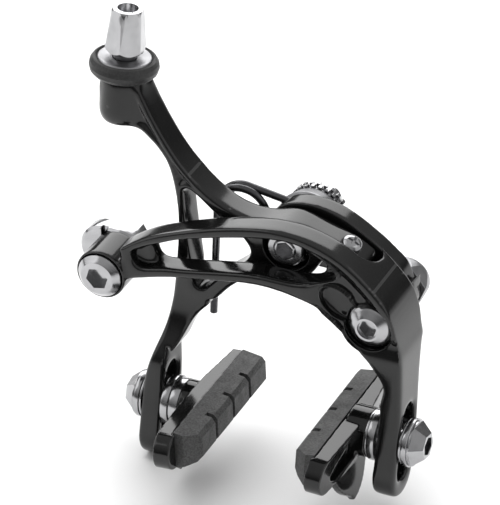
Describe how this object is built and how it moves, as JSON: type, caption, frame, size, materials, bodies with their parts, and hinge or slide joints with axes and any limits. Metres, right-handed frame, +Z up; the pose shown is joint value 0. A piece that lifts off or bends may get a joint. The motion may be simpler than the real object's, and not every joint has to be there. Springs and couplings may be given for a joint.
{
  "type": "dual-pivot bicycle rim brake caliper",
  "caption": "Dual-pivot rim brake caliper with skeleton arms, barrel adjuster, cable clamp and slotted legs that carry adjustable pads.",
  "frame": {"origin": "centre bolt axis at the rear face of the toothed washer, where the brake meets the fork", "axes": "+X to the right of a viewer in front of the bicycle, +Y back to the fork along the mounting stud, +Z up"},
  "size_m": [0.0953, 0.0603, 0.1179],
  "materials": {
    "black_anodised": "gloss black anodised",
    "black_gloss": "gloss black",
    "polished_steel": "polished",
    "polished_alloy": "polished",
    "satin_alloy": "satin",
    "spring_steel": "black oxide",
    "bronze": "satin",
    "nylon": "matte",
    "rubber": "matte",
    "brake_rubber": "matte, fine grain"
  },
  "bodies": {
    "fork_mount": {"toothed_washer": "polished_steel", "fork_spacer": "satin_alloy", "bridge_plate": "black_anodised", "centre_bolt": "polished_steel", "centre_washer": "polished_steel", "centre_nut": "polished_steel", "centre_thrust_washer": "nylon", "side_thrust_washer": "nylon", "side_pivot_bolt": "polished_steel", "side_pivot_washer": "polished_steel", "side_pivot_nut": "satin_alloy", "return_spring": "spring_steel"},
    "side_arm": {"side_arm": "black_anodised", "side_arm_bush": "bronze", "side_wear_pad": "nylon", "cable_clamp_plate": "polished_steel", "cable_clamp_nut": "polished_steel"},
    "anchor_bolt": {"cable_anchor_bolt": "polished_steel"},
    "centre_arm": {"centre_arm": "black_anodised", "centre_arm_bush": "bronze", "spring_slider": "nylon", "barrel_seat": "polished_steel"},
    "centring_screw": {"centring_screw": "polished_steel"},
    "adjuster": {"adjuster_wheel": "satin_alloy", "adjuster_ring": "rubber"},
    "cable_stop": {"cable_stop": "polished_alloy"},
    "right_pad_bolt_set": {"right_pad_bolt": "polished_steel", "right_inner_domed_washer": "polished_steel", "right_inner_cupped_washer": "polished_steel", "right_outer_domed_washer": "polished_steel", "right_outer_cupped_washer": "polished_steel"},
    "right_pad": {"right_shoe_holder": "black_gloss", "right_brake_block": "brake_rubber", "right_retaining_screw": "polished_steel"},
    "left_pad_bolt_set": {"left_pad_bolt": "polished_steel", "left_inner_domed_washer": "polished_steel", "left_inner_cupped_washer": "polished_steel", "left_outer_domed_washer": "polished_steel", "left_outer_cupped_washer": "polished_steel"},
    "left_pad": {"left_shoe_holder": "black_gloss", "left_brake_block": "brake_rubber", "left_retaining_screw": "polished_steel"}
  },
  "joints": [
    {"name": "centre_arm_pivot", "type": "hinge", "parent": "fork_mount", "child": "centre_arm", "pos_m": [0, -0.016, 0], "axis": [0, -1, 0], "range_deg": [0, 7], "stiffness_Nm_per_rad": 1.2, "springref_deg": -28.65, "deforming": ["return_spring"]},
    {"name": "side_arm_pivot", "type": "hinge", "parent": "fork_mount", "child": "side_arm", "pos_m": [0.0245, -0.018, -0.012], "axis": [0, 1, 0], "range_deg": [0, 8.9]},
    {"name": "anchor_bolt_turn", "type": "hinge", "parent": "side_arm", "child": "anchor_bolt", "pos_m": [-0.0457, -0.02, -0.014], "axis": [0, -1, 0], "range_deg": [0, 180]},
    {"name": "centring_screw_turn", "type": "hinge", "parent": "centre_arm", "child": "centring_screw", "pos_m": [0.016, -0.0177, 0.0036], "axis": [0.4198, -0.2599, 0.8696], "range_deg": [-180, 180]},
    {"name": "adjuster_turn", "type": "hinge", "parent": "centre_arm", "child": "adjuster", "pos_m": [-0.0436, -0.017, 0.0364], "axis": [0.064, 0.08, 0.9947], "range_deg": [-360.5, 1440.5]},
    {"name": "cable_stop_lift", "type": "slide", "parent": "centre_arm", "child": "cable_stop", "axis": [0.064, 0.08, 0.9947], "range_m": [-0.001, 0.004]},
    {"name": "right_pad_height", "type": "slide", "parent": "side_arm", "child": "right_pad_bolt_set", "axis": [0, -0.2419, -0.9703], "range_m": [-0.0063, 0.0069]},
    {"name": "right_pad_tilt", "type": "hinge", "parent": "right_pad_bolt_set", "child": "right_pad", "pos_m": [0.0244, -0.02393, -0.04431], "axis": [1, 0, 0], "range_deg": [-12, 12]},
    {"name": "left_pad_height", "type": "slide", "parent": "centre_arm", "child": "left_pad_bolt_set", "axis": [0, -0.2419, -0.9703], "range_m": [-0.0068, 0.0064]},
    {"name": "left_pad_tilt", "type": "hinge", "parent": "left_pad_bolt_set", "child": "left_pad", "pos_m": [-0.0258, -0.02405, -0.04939], "axis": [1, 0, 0], "range_deg": [-12, 12]}
  ],
  "couplings": [
    {"joint": "side_arm_pivot", "follows": "centre_arm_pivot", "ratio": 1.27},
    {"joint": "adjuster_turn", "follows": "cable_stop_lift", "rad_per_m": 6283.2}
  ]
}
